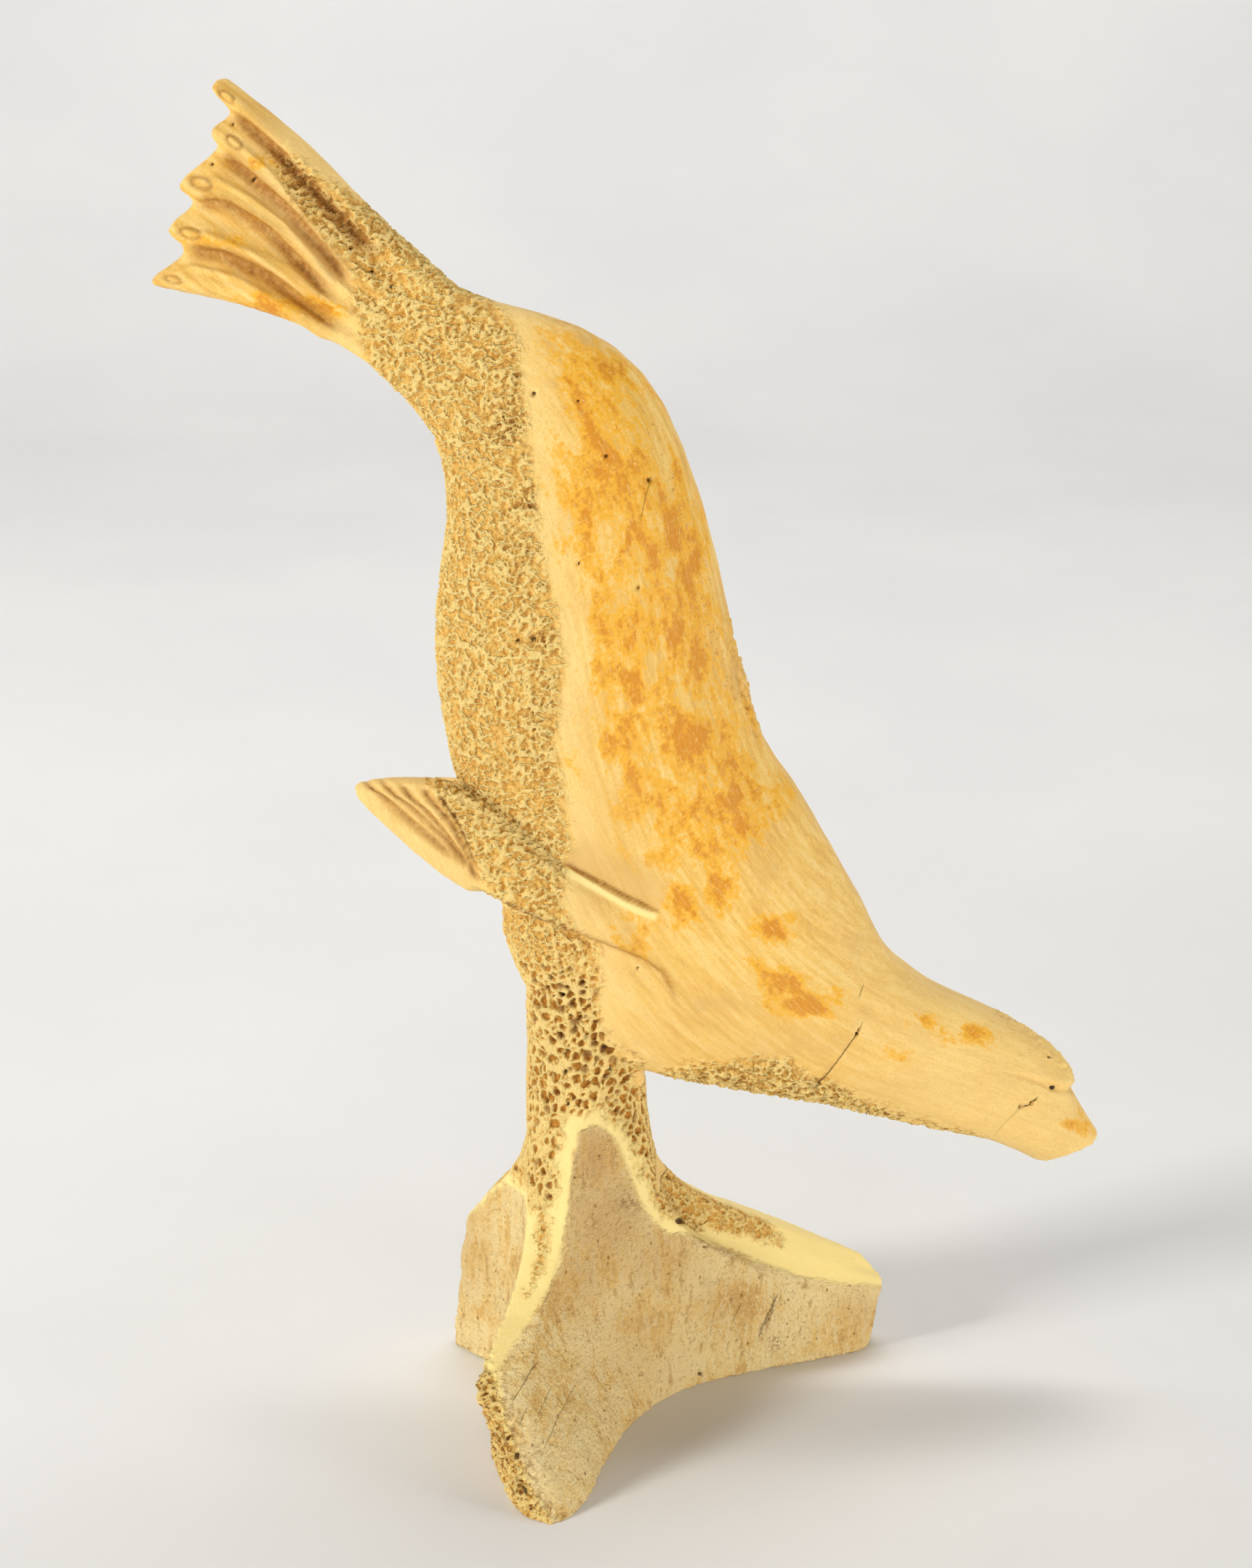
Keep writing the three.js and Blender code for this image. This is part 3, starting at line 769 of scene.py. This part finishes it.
class Nodes:
    """Builds a node tree, for shading or for geometry, with short calls."""

    def __init__(self, tree, read):
        self.tree = tree
        self.read = read

    def add(self, kind, inputs=(), **settings):
        node = self.tree.nodes.new(kind)
        for name, value in settings.items():
            setattr(node, name, value)
        for name, value in dict(inputs).items():
            if isinstance(value, bpy.types.NodeSocket):
                self.tree.links.new(value, node.inputs[name])
            else:
                node.inputs[name].default_value = value
        return node

    def math(self, operation, a, b=0.0, c=0.0):
        return self.add("ShaderNodeMath", {0: a, 1: b, 2: c}, operation=operation).outputs[0]

    def affine(self, value, factor, shift):
        return self.math("MULTIPLY_ADD", value, factor, shift)

    def swing(self, noise, amount):
        """A noise of 0 to 1 as a value from minus the amount to the amount."""
        return self.affine(noise, 2 * amount, -amount)

    def times(self, *factors):
        product = factors[0]
        for factor in factors[1:]:
            product = self.math("MULTIPLY", product, factor)
        return product

    def plus(self, *terms):
        total = terms[0]
        for term in terms[1:]:
            total = self.math("ADD", total, term)
        return total

    def vector(self, operation, a, b):
        return self.add("ShaderNodeVectorMath", {0: a, 1: b}, operation=operation).outputs[0]

    def scaled(self, vector, by):
        return self.vector("MULTIPLY", vector, by)

    def ramp(self, value, low, high):
        inputs = {"Value": value, "From Min": low, "From Max": high}
        return self.add("ShaderNodeMapRange", inputs, interpolation_type="SMOOTHSTEP").outputs[0]

    def noise(self, vector, scale, detail, roughness=0.5, output=0):
        inputs = {"Vector": vector, "Scale": scale, "Detail": detail, "Roughness": roughness}
        return self.add("ShaderNodeTexNoise", inputs).outputs[output]

    def cells(self, vector, scale, feature="F1"):
        return self.add("ShaderNodeTexVoronoi", {"Vector": vector, "Scale": scale}, feature=feature)

    def dots(self, vector, scale):
        """Distance to the nearest of many scattered points, and two chances that belong to that point."""
        cells = self.cells(vector, scale)
        chances = self.add("ShaderNodeSeparateXYZ", {0: cells.outputs["Color"]})
        return cells.outputs["Distance"], chances.outputs[0], chances.outputs[1]

    def warped(self, vector, scale, amount):
        noise = self.noise(vector, scale, 1.0, output=1)
        centred = self.vector("SUBTRACT", noise, (0.5, 0.5, 0.5))
        return self.vector("ADD", vector, self.scaled(centred, (amount, amount, amount)))

    def mix(self, share, a, b):
        return self.add("ShaderNodeMix", {0: share, 6: a, 7: b}, data_type="RGBA").outputs[2]

    def layered(self, base, *layers):
        """Colours over a base: each one's field, where that starts and is full, and its greatest share."""
        for field, start, full, share, colour in layers:
            base = self.mix(self.times(self.ramp(field, start, full), share), base, colour)
        return base


# What the pattern nodes store on the skin for the material
PATTERNS = (
    "sponge", "natural", "level", "gap", "broken", "pore", "stain", "tone", "streak", "fibre", "speck",
)
# What the material reads besides
MARKS = (
    "place", "grain", "coarse", "pale", "painted_grey_shade", "bright_rim_and_highlight", "lip_highlight", "groove", "tint", "back", "dirt_and_shade", "crack",
    "crack_strength", "pit", "eye",
)


def hollow_share(n, level, gap, broken, coarse):
    """Depth of the spongy bone's hollows: between worm-like ridges, or in a net where it is coarse."""
    off_level = n.math("ABSOLUTE", n.math("SUBTRACT", level, 0.5))
    worm = n.times(n.ramp(off_level, 0.11, 0.03), n.ramp(broken, 0.34, 0.5))
    comb = n.times(n.ramp(gap, 0.05, 0.30), n.ramp(broken, 0.3, 0.5))
    combed = n.ramp(coarse, 0.15, 0.85)
    valley = n.times(n.math("SUBTRACT", 1.0, worm), 0.85)
    return n.plus(n.times(comb, combed, 1.3), n.times(valley, n.math("SUBTRACT", 1.0, combed)))


def pattern_fields(n):
    """Shares of each pattern at each place, and the height of the whole relief in millimetres."""
    place = n.read("place")
    along = n.read("grain")
    found = {}

    ragged = n.swing(n.noise(place, 0.22, 6.0, 0.72), 5.5)
    found["sponge"] = n.ramp(n.plus(n.read("sponge_mm"), ragged), -1.6, 2.0)
    border = n.swing(n.noise(place, 0.5, 5.0, 0.7), 1.5)
    found["natural"] = n.ramp(n.plus(n.read("natural_mm"), border), -0.7, 0.8)

    # Ridges and hollows of the spongy bone
    coarse = n.read("coarse")
    found["broken"] = n.noise(place, 0.33, 3.0, 0.6)
    found["level"] = n.noise(n.scaled(n.warped(place, 0.5, 1.6), (0.85, 1.0, 1.25)), 0.60, 1.0, 0.4)
    found["gap"] = n.cells(n.warped(place, 0.6, 1.6), 0.46, "DISTANCE_TO_EDGE").outputs["Distance"]
    hollow = hollow_share(n, found["level"], found["gap"], found["broken"], coarse)

    # Round open pores
    distance, first, second = n.dots(n.warped(place, 0.3, 2.0), 0.36)
    size = n.affine(first, 0.30, 0.16)
    open_pore = n.ramp(distance, n.times(size, 1.15), n.times(size, 0.5))
    rare = n.math("GREATER_THAN", n.plus(second, coarse), 0.78)
    found["pore"] = n.times(open_pore, rare, n.ramp(coarse, 0.0, 0.7))

    # Stains, clouds and streaks of dense bone
    flow = n.warped(n.scaled(along, (0.075, 0.16, 0.16)), 1.0, 0.5)
    cloudy = n.noise(flow, 1.0, 8.0, 0.74)
    blotched = n.swing(cloudy, 4.5)
    near_stain = n.ramp(n.read("orange"), -0.15, 0.45)
    found["stain"] = n.plus(n.times(n.read("orange"), 1.6), n.times(blotched, near_stain), -0.35)
    found["tone"] = n.noise(place, 0.07, 5.0, 0.62)
    found["streak"] = n.noise(n.scaled(along, (0.07, 0.9, 0.4)), 1.0, 5.0, 0.62)

    # Fibres and specks of the natural face
    found["fibre"] = n.noise(n.scaled(n.warped(place, 0.05, 6.0), (0.5, 0.5, 0.09)), 1.0, 6.0, 0.74)
    distance, first, second = n.dots(n.warped(place, 0.4, 1.5), 0.36)
    size = n.affine(second, 0.16, 0.04)
    speck = n.ramp(distance, size, n.times(size, 0.4))
    found["speck"] = n.times(speck, n.math("GREATER_THAN", first, 0.35))

    depth = n.plus(n.times(hollow, -0.7), n.times(found["pore"], -0.8), 0.3)
    sponge = n.times(depth, found["sponge"])
    crumbs = n.affine(n.noise(place, 0.55, 4.0, 0.65), 3.6, -1.9)
    crumbled = n.times(n.math("MINIMUM", crumbs, 0.3), n.ramp(n.read("crumble_mm"), -0.5, 1.5))
    weathered = n.swing(n.noise(place, 0.16, 4.0, 0.55), 0.7)
    fibrous = n.plus(weathered, n.swing(found["fibre"], 0.3), n.times(found["speck"], -0.3))
    worn = n.swing(n.noise(place, 0.06, 3.0), 0.35)
    height = n.plus(sponge, crumbled, n.times(fibrous, found["natural"]), worn)
    return found, n.times(height, n.read("relief"))


def pattern_tree():
    """Geometry nodes that store the patterns and the height of their relief on the skin."""
    tree = bpy.data.node_groups.new("bone_patterns", "GeometryNodeTree")
    tree.interface.new_socket(name="Geometry", in_out="INPUT", socket_type="NodeSocketGeometry")
    tree.interface.new_socket(name="Geometry", in_out="OUTPUT", socket_type="NodeSocketGeometry")

    def read(name):
        node = tree.nodes.new("GeometryNodeInputNamedAttribute")
        node.data_type = "FLOAT_VECTOR" if name in ("place", "grain") else "FLOAT"
        node.inputs["Name"].default_value = name
        return node.outputs["Attribute"]

    n = Nodes(tree, read)
    found, height = pattern_fields(n)
    geometry = tree.nodes.new("NodeGroupInput").outputs[0]
    stored = {name: found[name] for name in PATTERNS} | {"height": height}
    for name, value in stored.items():
        inputs = {"Geometry": geometry, "Name": name, "Value": value}
        store = n.add("GeometryNodeStoreNamedAttribute", inputs, data_type="FLOAT", domain="POINT")
        geometry = store.outputs[0]
    tree.links.new(geometry, tree.nodes.new("NodeGroupOutput").inputs[0])
    return tree


def bone_material():
    """Old bone: dense and smooth, spongy, or natural, by the patterns on the skin."""
    material = bpy.data.materials.new("old_bone")
    material.use_nodes = True
    tree = material.node_tree
    tree.nodes.clear()

    def read(name):
        node = tree.nodes.new("ShaderNodeAttribute")
        node.attribute_name = name
        return node.outputs["Vector" if name in ("place", "grain") else "Fac"]

    n = Nodes(tree, read)
    place = read("place")
    along = read("grain")
    sponge, natural, level, gap, broken, pore, stain, tone, streak, fibre, speck = map(read, PATTERNS)
    hollow = hollow_share(n, level, gap, broken, read("coarse"))
    mottle = n.noise(place, 1.7, 4.0, 0.72)
    grit = n.noise(place, 0.95, 3.0, 0.65)
    scratch = n.noise(n.scaled(along, (0.35, 4.5, 1.8)), 1.0, 3.0, 0.65)
    across = n.noise(n.scaled(along, (3.6, 0.5, 0.9)), 1.0, 2.0, 0.6)

    # Dense bone: cream with long streaks, paler beside the spongy bone
    dense = n.mix(n.ramp(tone, 0.35, 0.65), DENSE_DEEP, DENSE_LIGHT)
    dense = n.layered(
        dense,
        (streak, 0.45, 0.62, 0.7, DENSE_PALE),
        (streak, 0.48, 0.36, 0.55, SHADE),
        (tone, 0.46, 0.34, 0.4, GREY_TONE_AND_SHADE),
    )
    dense = n.mix(n.times(read("pale"), 0.7), dense, DENSE_PALE)
    clotted = n.plus(stain, n.swing(grit, 0.8), n.swing(scratch, 0.8))
    dense = n.layered(
        dense,
        (clotted, 0.1, 0.8, 0.92, ORANGE),
        (clotted, 0.75, 1.6, 0.9, ORANGE_DEEP),
        (scratch, 0.54, 0.68, 0.5, SCRATCH),
        (scratch, 0.46, 0.34, 0.3, SHADE),
        (across, 0.6, 0.78, 0.35, SCRATCH),
        (mottle, 0.48, 0.3, 0.45, SHADE),
    )
    dense = n.mix(n.times(n.ramp(grit, 0.44, 0.36), read("back"), 0.8), dense, HOLLOW_OCHRE_AND_SHADE)
    # Painted shade in the recess above the flipper's ridge, under the neck and round the flipper
    dense = n.mix(n.times(read("painted_grey_shade"), 0.6), dense, GREY_TONE_AND_SHADE)
    # Whiter compact bone of the base's rims, and the painted highlight on the flipper's ridge
    dense = n.mix(n.times(read("bright_rim_and_highlight"), 0.9), dense, BRIGHT_RIM_AND_HIGHLIGHT)

    # Spongy bone: cream rims, ochre hollows, brown pores, with painted highlight on the ridges and painted
    # shade deepening in the hollows
    deep = n.plus(hollow, n.affine(grit, -2.4, 1.2))
    ground = n.mix(n.times(read("coarse"), 0.8), SPONGE_GROUND, STEM_GROUND)
    spongy = n.mix(n.ramp(deep, 0.75, 0.1), ground, RIDGE_CREAM_AND_HIGHLIGHT)
    darkened = n.affine(tone, 0.6, 0.55)
    spongy = n.mix(n.times(n.ramp(deep, 0.55, 1.3), darkened), spongy, HOLLOW_OCHRE_AND_SHADE)
    # Painted highlight along the flipper's upper edge
    spongy = n.mix(read("lip_highlight"), spongy, RIDGE_CREAM_AND_HIGHLIGHT)
    spongy = n.mix(n.times(pore, n.affine(grit, 1.3, 0.15)), spongy, PORE)
    # Dirt in the hollows, and painted shade over the stem's middle
    dirt_and_shade_share = n.times(read("dirt_and_shade"), n.plus(n.ramp(deep, 0.5, 1.2), pore, 0.05), 0.95)
    spongy = n.mix(n.math("MINIMUM", dirt_and_shade_share, 0.9), spongy, DIRT_AND_SHADE_BROWN)

    # Natural face: fibrous and speckled
    old = n.mix(n.ramp(tone, 0.38, 0.6), OLD_DEEP, OLD_LIGHT)
    old = n.layered(
        old,
        (tone, 0.46, 0.36, 0.35, OLD_DARK),
        (fibre, 0.5, 0.58, 0.85, OLD_BRIGHT),
        (fibre, 0.46, 0.36, 0.65, OLD_DARK),
        (mottle, 0.42, 0.32, 0.5, OLD_DARK),
        (grit, 0.44, 0.34, 0.4, OLD_DARK),
        (grit, 0.54, 0.64, 0.7, OLD_BRIGHT),
    )
    old = n.mix(n.times(read("tint"), n.affine(fibre, 1.2, 0.1)), old, OLD_RED)
    old = n.mix(n.times(speck, n.affine(grit, 1.6, -0.1)), old, PORE)
    old = n.mix(n.times(read("dirt_and_shade"), n.ramp(grit, 0.6, 0.4), 0.85), old, DIRT_AND_SHADE_BROWN)

    distance, first, second = n.dots(n.scaled(place, (1.0, 1.0, 0.7)), 0.42)
    size = n.affine(second, 0.10, 0.07)
    dot = n.ramp(distance, n.times(size, 1.3), n.times(size, 0.6))
    old = n.mix(n.times(dot, n.math("GREATER_THAN", first, 0.5), 0.75), old, PORE)

    # All three together, then what crosses their borders
    colour = n.mix(sponge, dense, spongy)
    # Painted shade in carved lines and along the flipper's edges
    colour = n.mix(n.times(read("groove"), n.affine(grit, 1.4, 0.15)), colour, GROOVE_SHADE)
    colour = n.mix(natural, colour, old)
    wobble = n.swing(mottle, 0.35)
    line = n.ramp(n.math("ABSOLUTE", n.plus(read("crack"), wobble)), 0.17, 0.04)
    colour = n.mix(n.times(line, read("crack_strength"), 0.9), colour, BLACKENED)
    colour = n.mix(n.times(n.ramp(n.plus(read("pit"), wobble), 1.0, 0.45), 0.85), colour, BLACKENED)
    colour = n.mix(n.ramp(read("eye"), 0.8, 0.5), colour, BLACKENED)

    # Relief finer than the skin's mesh
    rougher = n.math("MAXIMUM", sponge, natural)
    fine = n.times(mottle, n.affine(rougher, 0.35, 0.12))
    fine = n.plus(fine, n.times(grit, n.affine(rougher, 1.2, 0.10)))
    fine = n.plus(fine, n.times(hollow, sponge, -0.5))
    fine = n.plus(fine, n.times(scratch, n.affine(rougher, -0.08, 0.12)))
    fine = n.plus(fine, n.times(line, read("crack_strength"), -0.4))
    bump = n.add("ShaderNodeBump", {"Height": n.times(fine, MM), "Distance": 1.0, "Strength": 1.0})
    roughness = n.plus(n.times(rougher, 0.25), n.affine(streak, 0.2, 0.38))
    inputs = {"Base Color": colour, "Roughness": roughness, "Normal": bump.outputs[0]}
    inputs["Specular IOR Level"] = 0.25
    shader = n.add("ShaderNodeBsdfPrincipled", inputs)
    n.add("ShaderNodeOutputMaterial", {"Surface": shader.outputs[0]})
    return material


def pattern(skin, fields):
    """Runs the pattern nodes over the skin, sinks the relief in and returns the patterns found."""
    def read(mesh):
        return {name: read_field(mesh, name) for name in PATTERNS + ("height",)}

    whole = mesh_of("whole", skin.points, skin.quads, fields)
    found = with_modifier(whole, "NODES", read, node_group=pattern_tree())
    skin.push(found.pop("height"))
    skin.points = np.clip(skin.points, *(np.array(cad_bounds, float) / MM))
    return found


def write_pieces(skin, fields, material):
    """The skin as mesh pieces, each under the limit of triangles, with normals that run on across them."""
    normals = skin.normals()
    centres = skin.points[skin.quads].mean(1)
    order = np.argsort(centres[:, 2], kind="stable")
    count = math.ceil(2 * len(order) / PIECE_TRIANGLES)
    pieces = []
    for k, chosen in enumerate(np.array_split(order, count)):
        quads = skin.quads[np.sort(chosen)]
        used, local = np.unique(quads, return_inverse=True)
        part = {name: values[used] for name, values in fields.items()}
        mesh = mesh_of(f"seal_carving_{k + 1}", skin.points[used], local.reshape(-1, 4), part)
        mesh.normals_split_custom_set_from_vertices(normals[used].tolist())
        mesh.materials.append(material)
        pieces.append(shown_as(mesh.name, mesh))
    return pieces


def mesh_of(name, points, quads, fields):
    mesh = bpy.data.meshes.new(name)
    mesh.vertices.add(len(points))
    mesh.vertices.foreach_set("co", (points * MM).astype(np.float32).ravel())
    mesh.loops.add(quads.size)
    mesh.loops.foreach_set("vertex_index", quads.astype(np.int32).ravel())
    mesh.polygons.add(len(quads))
    mesh.polygons.foreach_set("loop_start", np.arange(0, quads.size, 4, dtype=np.int32))
    mesh.update(calc_edges=True)
    mesh.polygons.foreach_set("use_smooth", np.ones(len(quads), bool))
    for field, values in fields.items():
        kind, value = ("FLOAT_VECTOR", "vector") if values.ndim == 2 else ("FLOAT", "value")
        mesh.attributes.new(field, kind, "POINT").data.foreach_set(value, values.astype(np.float32).ravel())
    return mesh


def floor():
    """A pale floor that turns up into a backdrop."""
    material = bpy.data.materials.new("pale_floor")
    material.use_nodes = True
    n = Nodes(material.node_tree, None)
    shader = material.node_tree.nodes["Principled BSDF"]
    coordinates = n.add("ShaderNodeTexCoord").outputs["Object"]
    tone = n.noise(coordinates, 6.0, 3.0)
    tint = n.mix(n.ramp(tone, 0.3, 0.7), *FLOOR_TINTS)
    material.node_tree.links.new(tint, shader.inputs["Base Color"])
    shader.inputs["Roughness"].default_value = FLOOR_ROUGHNESS
    width, front, bend, radius, top, steps = 3.0, -1.5, 0.9, 0.5, 2.2, 12
    profile = [(front, 0.0), (bend, 0.0)]
    for k in range(1, steps + 1):
        angle = math.pi / 2 * k / steps
        profile.append((bend + radius * math.sin(angle), radius - radius * math.cos(angle)))
    profile.append((bend + radius, top))
    points = [(x, y, z) for y, z in profile for x in (-width, width)]
    faces = [(2 * k, 2 * k + 1, 2 * k + 3, 2 * k + 2) for k in range(len(profile) - 1)]
    mesh = bpy.data.meshes.new("floor")
    mesh.from_pydata(points, [], faces)
    mesh.polygons.foreach_set("use_smooth", [True] * len(faces))
    mesh.materials.append(material)
    obj = shown_as("floor", mesh)


def softbox(name, place, target, size, power, colour):
    light = bpy.data.lights.new(name, "AREA")
    light.shape = "RECTANGLE"
    light.size, light.size_y = size
    light.energy = power
    light.color = colour
    obj = shown_as(name, light)
    obj.location = place
    obj.rotation_euler = (Vector(target) - Vector(place)).to_track_quat("-Z", "Y").to_euler()


def lights():
    middle = (0.0, 0.0, 0.14)
    softbox("key", (-1.1, -0.5, 0.6), middle, (0.25, 0.25), 12.5, (1.0, 0.98, 0.94))
    softbox("front", (-0.1, -1.2, 0.12), middle, (0.3, 0.3), 4.4, (1.0, 0.98, 0.95))
    softbox("right", (1.1, -0.6, 0.1), middle, (0.3, 0.3), 9.0, (1.0, 0.98, 0.95))
    softbox("top", (0.1, 0.3, 1.1), middle, (0.5, 0.3), 3, (1.0, 0.99, 0.96))
    softbox("backdrop", (0.0, 0.35, 1.3), (0.0, 1.4, 0.5), (1.6, 0.3), 9, (1.0, 1.0, 1.0))
    world = bpy.data.worlds.new("studio")
    world.use_nodes = True
    background = world.node_tree.nodes["Background"]
    background.inputs["Color"].default_value = WORLD_TINT
    background.inputs["Strength"].default_value = WORLD_STRENGTH
    bpy.context.scene.world = world


def camera():
    eye, _, _ = camera_axes()
    data = bpy.data.cameras.new("camera")
    data.sensor_width = SENSOR
    data.lens = FOCAL_PIXELS / PICTURE_HEIGHT * SENSOR
    data.clip_start = 0.01
    obj = shown_as("camera", data)
    obj.location = Vector(eye) * MM
    obj.rotation_euler = (math.radians(90 - CAMERA_PITCH), 0, 0)
    bpy.context.scene.camera = obj


def rest_skin():
    """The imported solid's surface as fine, even quads, carried to its place in the frame."""
    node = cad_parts["carved_bone"]
    mesh = node.data.copy()
    mesh.transform(node.matrix_world)
    coarse = with_modifier(mesh, "REMESH", Skin, mode="VOXEL", voxel_size=SKIN_VOXEL * MM)
    smooth(coarse)
    return with_modifier(mesh_of("coarse", coarse.points, coarse.quads, {}), "SUBSURF", Skin, levels=1)


camera()
lights()
floor()
bpy.context.scene.view_settings.view_transform = "Standard"

skin = rest_skin()
fields = marks(skin)
fields["place"] = skin.points.copy()
fields["grain"] = grain(skin.points)
carve(skin)
fields.update(pattern(skin, fields))
shown = {name: fields[name] for name in PATTERNS + MARKS}
for piece in write_pieces(skin, shown, bone_material()):
    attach(piece, "root")
    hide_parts("carved_bone")
